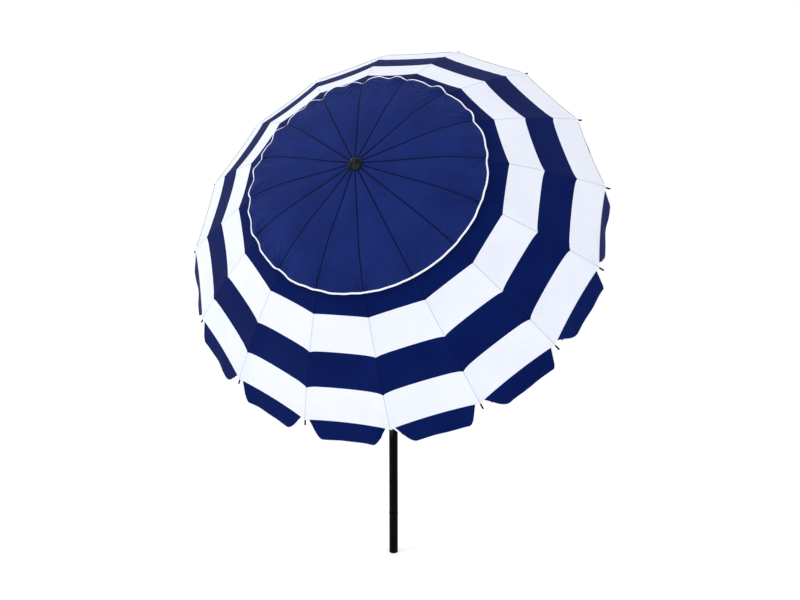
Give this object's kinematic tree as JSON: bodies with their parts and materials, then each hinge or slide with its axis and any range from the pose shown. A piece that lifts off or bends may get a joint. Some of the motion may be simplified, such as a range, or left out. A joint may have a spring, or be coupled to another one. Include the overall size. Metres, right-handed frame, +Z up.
{
  "type": "beach umbrella",
  "caption": "Beach umbrella with a round navy and white striped canopy, wind-vent cap, scalloped valance, folding ribs, tilt knuckle and telescoping pole.",
  "frame": {"origin": "centre of the pole's flat foot", "axes": "+Z up the pole; the canopy leans towards -Y about the X axis; +X to the right seen from the front"},
  "size_m": [1.791, 1.0494, 2.2902],
  "materials": {
    "black_paint": "satin black powder coat on steel tube",
    "black_plastic": "moulded black plastic, fine grain",
    "button_plastic": "glossy moulded buttons",
    "finial_plastic": "dark grey moulded plastic",
    "steel": "bright zinc plate",
    "rib_coating": "black coated ribs and stretchers",
    "navy_fabric": "navy woven polyester, matt with a slight sheen",
    "white_fabric": "white woven polyester, matt"
  },
  "bodies": {
    "lower_pole": {"foot_plug": "black_plastic", "foot_section": "black_paint", "pole_button_spring": "steel", "lower_tube": "black_paint", "clamp_collar": "black_plastic"},
    "pole_button": {"pole_button": "steel"},
    "clamp_knob": {"clamp_knob": "black_plastic"},
    "upper_pole": {"upper_tube": "black_paint", "tilt_fork": "black_plastic", "tilt_pin": "steel"},
    "tilt_button": {"tilt_button": "button_plastic"},
    "canopy_shaft": {"tilt_head": "black_plastic", "shaft_tube": "black_paint", "crown": "black_plastic", "crown_ring": "steel", "finial": "finial_plastic", "navy_ring_inner": "navy_fabric", "white_ring_inner": "white_fabric", "navy_ring_outer": "navy_fabric", "white_ring_outer": "white_fabric", "vent_cap": "navy_fabric", "valance": "navy_fabric"},
    "runner": {"runner": "black_plastic", "runner_ring": "steel"},
    "runner_button": {"runner_button": "button_plastic"},
    "rib_01": {"rib_01": "rib_coating"},
    "rib_02": {"rib_02": "rib_coating"},
    "rib_03": {"rib_03": "rib_coating"},
    "rib_04": {"rib_04": "rib_coating"},
    "rib_05": {"rib_05": "rib_coating"},
    "rib_06": {"rib_06": "rib_coating"},
    "rib_07": {"rib_07": "rib_coating"},
    "rib_08": {"rib_08": "rib_coating"},
    "rib_09": {"rib_09": "rib_coating"},
    "rib_10": {"rib_10": "rib_coating"},
    "rib_11": {"rib_11": "rib_coating"},
    "rib_12": {"rib_12": "rib_coating"},
    "rib_13": {"rib_13": "rib_coating"},
    "rib_14": {"rib_14": "rib_coating"},
    "rib_15": {"rib_15": "rib_coating"},
    "rib_16": {"rib_16": "rib_coating"},
    "stretcher_01": {"stretcher_01": "rib_coating"},
    "stretcher_02": {"stretcher_02": "rib_coating"},
    "stretcher_03": {"stretcher_03": "rib_coating"},
    "stretcher_04": {"stretcher_04": "rib_coating"},
    "stretcher_05": {"stretcher_05": "rib_coating"},
    "stretcher_06": {"stretcher_06": "rib_coating"},
    "stretcher_07": {"stretcher_07": "rib_coating"},
    "stretcher_08": {"stretcher_08": "rib_coating"},
    "stretcher_09": {"stretcher_09": "rib_coating"},
    "stretcher_10": {"stretcher_10": "rib_coating"},
    "stretcher_11": {"stretcher_11": "rib_coating"},
    "stretcher_12": {"stretcher_12": "rib_coating"},
    "stretcher_13": {"stretcher_13": "rib_coating"},
    "stretcher_14": {"stretcher_14": "rib_coating"},
    "stretcher_15": {"stretcher_15": "rib_coating"},
    "stretcher_16": {"stretcher_16": "rib_coating"}
  },
  "joints": [
    {"name": "pole_button_press", "type": "slide", "parent": "lower_pole", "child": "pole_button", "axis": [0, 1, 0], "range_m": [0, 0.0035], "stiffness_N_per_m": 400, "springref_m": -0.001, "deforming": ["pole_button_spring"]},
    {"name": "clamp_knob_turn", "type": "hinge", "parent": "lower_pole", "child": "clamp_knob", "pos_m": [0, 0.04, 0.628], "axis": [0, 1, 0], "range_deg": [0, 270]},
    {"name": "height_slide", "type": "slide", "parent": "lower_pole", "child": "upper_pole", "axis": [0, 0, 1], "range_m": [-0.2, 0.12]},
    {"name": "tilt", "type": "hinge", "parent": "upper_pole", "child": "canopy_shaft", "pos_m": [0, 0, 1.5], "axis": [1, 0, 0], "range_deg": [-57, 0]},
    {"name": "tilt_button_press", "type": "slide", "parent": "upper_pole", "child": "tilt_button", "axis": [-1, 0, 0], "range_m": [0, 0.003], "stiffness_N_per_m": 400, "springref_m": -0.001},
    {"name": "rib_01_fold", "type": "hinge", "parent": "canopy_shaft", "child": "rib_01", "pos_m": [0.00585, -0.4416, 1.7517], "axis": [0.9808, 0.1063, 0.1636], "range_deg": [0, 61], "deforming": ["navy_ring_inner", "white_ring_inner", "navy_ring_outer", "white_ring_outer", "vent_cap", "valance"]},
    {"name": "rib_02_fold", "type": "hinge", "parent": "canopy_shaft", "child": "rib_02", "pos_m": [0.01667, -0.43916, 1.75545], "axis": [0.8315, 0.3026, 0.4659], "range_deg": [0, 61]},
    {"name": "rib_03_fold", "type": "hinge", "parent": "canopy_shaft", "child": "rib_03", "pos_m": [0.02494, -0.43465, 1.76239], "axis": [0.5556, 0.4529, 0.6973], "range_deg": [0, 61]},
    {"name": "rib_04_fold", "type": "hinge", "parent": "canopy_shaft", "child": "rib_04", "pos_m": [0.02942, -0.42876, 1.77146], "axis": [0.1951, 0.5342, 0.8226], "range_deg": [0, 61]},
    {"name": "rib_05_fold", "type": "hinge", "parent": "canopy_shaft", "child": "rib_05", "pos_m": [0.02942, -0.42239, 1.78128], "axis": [-0.1951, 0.5342, 0.8226], "range_deg": [0, 61]},
    {"name": "rib_06_fold", "type": "hinge", "parent": "canopy_shaft", "child": "rib_06", "pos_m": [0.02494, -0.4165, 1.79035], "axis": [-0.5556, 0.4529, 0.6973], "range_deg": [0, 61]},
    {"name": "rib_07_fold", "type": "hinge", "parent": "canopy_shaft", "child": "rib_07", "pos_m": [0.01667, -0.41199, 1.79729], "axis": [-0.8315, 0.3026, 0.4659], "range_deg": [0, 61]},
    {"name": "rib_08_fold", "type": "hinge", "parent": "canopy_shaft", "child": "rib_08", "pos_m": [0.00585, -0.40955, 1.80105], "axis": [-0.9808, 0.1063, 0.1636], "range_deg": [0, 61]},
    {"name": "rib_09_fold", "type": "hinge", "parent": "canopy_shaft", "child": "rib_09", "pos_m": [-0.00585, -0.40955, 1.80105], "axis": [-0.9808, -0.1063, -0.1636], "range_deg": [0, 61]},
    {"name": "rib_10_fold", "type": "hinge", "parent": "canopy_shaft", "child": "rib_10", "pos_m": [-0.01667, -0.41199, 1.79729], "axis": [-0.8315, -0.3026, -0.4659], "range_deg": [0, 61]},
    {"name": "rib_11_fold", "type": "hinge", "parent": "canopy_shaft", "child": "rib_11", "pos_m": [-0.02494, -0.4165, 1.79035], "axis": [-0.5556, -0.4529, -0.6973], "range_deg": [0, 61]},
    {"name": "rib_12_fold", "type": "hinge", "parent": "canopy_shaft", "child": "rib_12", "pos_m": [-0.02942, -0.42239, 1.78128], "axis": [-0.1951, -0.5342, -0.8226], "range_deg": [0, 61]},
    {"name": "rib_13_fold", "type": "hinge", "parent": "canopy_shaft", "child": "rib_13", "pos_m": [-0.02942, -0.42876, 1.77146], "axis": [0.1951, -0.5342, -0.8226], "range_deg": [0, 61]},
    {"name": "rib_14_fold", "type": "hinge", "parent": "canopy_shaft", "child": "rib_14", "pos_m": [-0.02494, -0.43465, 1.76239], "axis": [0.5556, -0.4529, -0.6973], "range_deg": [0, 61]},
    {"name": "rib_15_fold", "type": "hinge", "parent": "canopy_shaft", "child": "rib_15", "pos_m": [-0.01667, -0.43916, 1.75545], "axis": [0.8315, -0.3026, -0.4659], "range_deg": [0, 61]},
    {"name": "rib_16_fold", "type": "hinge", "parent": "canopy_shaft", "child": "rib_16", "pos_m": [-0.00585, -0.4416, 1.7517], "axis": [0.9808, -0.1063, -0.1636], "range_deg": [0, 61]},
    {"name": "stretcher_01_turn", "type": "hinge", "parent": "rib_01", "child": "stretcher_01", "pos_m": [0.04521, -0.51797, 1.56535], "axis": [0.9808, 0.1063, 0.1636], "range_deg": [-122, 0]},
    {"name": "stretcher_02_turn", "type": "hinge", "parent": "rib_02", "child": "stretcher_02", "pos_m": [0.12875, -0.49912, 1.59437], "axis": [0.8315, 0.3026, 0.4659], "range_deg": [-122, 0]},
    {"name": "stretcher_03_turn", "type": "hinge", "parent": "rib_03", "child": "stretcher_03", "pos_m": [0.1927, -0.4643, 1.648], "axis": [0.5556, 0.4529, 0.6973], "range_deg": [-122, 0]},
    {"name": "stretcher_04_turn", "type": "hinge", "parent": "rib_04", "child": "stretcher_04", "pos_m": [0.2273, -0.4188, 1.71806], "axis": [0.1951, 0.5342, 0.8226], "range_deg": [-122, 0]},
    {"name": "stretcher_05_turn", "type": "hinge", "parent": "rib_05", "child": "stretcher_05", "pos_m": [0.2273, -0.36955, 1.7939], "axis": [-0.1951, 0.5342, 0.8226], "range_deg": [-122, 0]},
    {"name": "stretcher_06_turn", "type": "hinge", "parent": "rib_06", "child": "stretcher_06", "pos_m": [0.1927, -0.32405, 1.86396], "axis": [-0.5556, 0.4529, 0.6973], "range_deg": [-122, 0]},
    {"name": "stretcher_07_turn", "type": "hinge", "parent": "rib_07", "child": "stretcher_07", "pos_m": [0.12875, -0.28922, 1.91759], "axis": [-0.8315, 0.3026, 0.4659], "range_deg": [-122, 0]},
    {"name": "stretcher_08_turn", "type": "hinge", "parent": "rib_08", "child": "stretcher_08", "pos_m": [0.04521, -0.27038, 1.94661], "axis": [-0.9808, 0.1063, 0.1636], "range_deg": [-122, 0]},
    {"name": "stretcher_09_turn", "type": "hinge", "parent": "rib_09", "child": "stretcher_09", "pos_m": [-0.04521, -0.27038, 1.94661], "axis": [-0.9808, -0.1063, -0.1636], "range_deg": [-122, 0]},
    {"name": "stretcher_10_turn", "type": "hinge", "parent": "rib_10", "child": "stretcher_10", "pos_m": [-0.12875, -0.28922, 1.91759], "axis": [-0.8315, -0.3026, -0.4659], "range_deg": [-122, 0]},
    {"name": "stretcher_11_turn", "type": "hinge", "parent": "rib_11", "child": "stretcher_11", "pos_m": [-0.1927, -0.32405, 1.86396], "axis": [-0.5556, -0.4529, -0.6973], "range_deg": [-122, 0]},
    {"name": "stretcher_12_turn", "type": "hinge", "parent": "rib_12", "child": "stretcher_12", "pos_m": [-0.2273, -0.36955, 1.7939], "axis": [-0.1951, -0.5342, -0.8226], "range_deg": [-122, 0]},
    {"name": "stretcher_13_turn", "type": "hinge", "parent": "rib_13", "child": "stretcher_13", "pos_m": [-0.2273, -0.4188, 1.71806], "axis": [0.1951, -0.5342, -0.8226], "range_deg": [-122, 0]},
    {"name": "stretcher_14_turn", "type": "hinge", "parent": "rib_14", "child": "stretcher_14", "pos_m": [-0.1927, -0.4643, 1.648], "axis": [0.5556, -0.4529, -0.6973], "range_deg": [-122, 0]},
    {"name": "stretcher_15_turn", "type": "hinge", "parent": "rib_15", "child": "stretcher_15", "pos_m": [-0.12875, -0.49912, 1.59437], "axis": [0.8315, -0.3026, -0.4659], "range_deg": [-122, 0]},
    {"name": "stretcher_16_turn", "type": "hinge", "parent": "rib_16", "child": "stretcher_16", "pos_m": [-0.04521, -0.51797, 1.56535], "axis": [0.9808, -0.1063, -0.1636], "range_deg": [-122, 0]},
    {"name": "runner_travel", "type": "hinge", "parent": "stretcher_01", "child": "runner", "pos_m": [0.00585, -0.3788, 1.71091], "axis": [0.9808, 0.1063, 0.1636], "range_deg": [0, 61]},
    {"name": "runner_button_press", "type": "slide", "parent": "runner", "child": "runner_button", "axis": [0, 0.5446, 0.8387], "range_m": [0, 0.003], "stiffness_N_per_m": 400, "springref_m": -0.001}
  ],
  "couplings": [
    {"joint": "rib_02_fold", "follows": "rib_01_fold", "ratio": 1},
    {"joint": "rib_03_fold", "follows": "rib_01_fold", "ratio": 1},
    {"joint": "rib_04_fold", "follows": "rib_01_fold", "ratio": 1},
    {"joint": "rib_05_fold", "follows": "rib_01_fold", "ratio": 1},
    {"joint": "rib_06_fold", "follows": "rib_01_fold", "ratio": 1},
    {"joint": "rib_07_fold", "follows": "rib_01_fold", "ratio": 1},
    {"joint": "rib_08_fold", "follows": "rib_01_fold", "ratio": 1},
    {"joint": "rib_09_fold", "follows": "rib_01_fold", "ratio": 1},
    {"joint": "rib_10_fold", "follows": "rib_01_fold", "ratio": 1},
    {"joint": "rib_11_fold", "follows": "rib_01_fold", "ratio": 1},
    {"joint": "rib_12_fold", "follows": "rib_01_fold", "ratio": 1},
    {"joint": "rib_13_fold", "follows": "rib_01_fold", "ratio": 1},
    {"joint": "rib_14_fold", "follows": "rib_01_fold", "ratio": 1},
    {"joint": "rib_15_fold", "follows": "rib_01_fold", "ratio": 1},
    {"joint": "rib_16_fold", "follows": "rib_01_fold", "ratio": 1},
    {"joint": "stretcher_01_turn", "follows": "rib_01_fold", "ratio": -2},
    {"joint": "stretcher_02_turn", "follows": "rib_01_fold", "ratio": -2},
    {"joint": "stretcher_03_turn", "follows": "rib_01_fold", "ratio": -2},
    {"joint": "stretcher_04_turn", "follows": "rib_01_fold", "ratio": -2},
    {"joint": "stretcher_05_turn", "follows": "rib_01_fold", "ratio": -2},
    {"joint": "stretcher_06_turn", "follows": "rib_01_fold", "ratio": -2},
    {"joint": "stretcher_07_turn", "follows": "rib_01_fold", "ratio": -2},
    {"joint": "stretcher_08_turn", "follows": "rib_01_fold", "ratio": -2},
    {"joint": "stretcher_09_turn", "follows": "rib_01_fold", "ratio": -2},
    {"joint": "stretcher_10_turn", "follows": "rib_01_fold", "ratio": -2},
    {"joint": "stretcher_11_turn", "follows": "rib_01_fold", "ratio": -2},
    {"joint": "stretcher_12_turn", "follows": "rib_01_fold", "ratio": -2},
    {"joint": "stretcher_13_turn", "follows": "rib_01_fold", "ratio": -2},
    {"joint": "stretcher_14_turn", "follows": "rib_01_fold", "ratio": -2},
    {"joint": "stretcher_15_turn", "follows": "rib_01_fold", "ratio": -2},
    {"joint": "stretcher_16_turn", "follows": "rib_01_fold", "ratio": -2},
    {"joint": "runner_travel", "follows": "rib_01_fold", "ratio": 1}
  ]
}
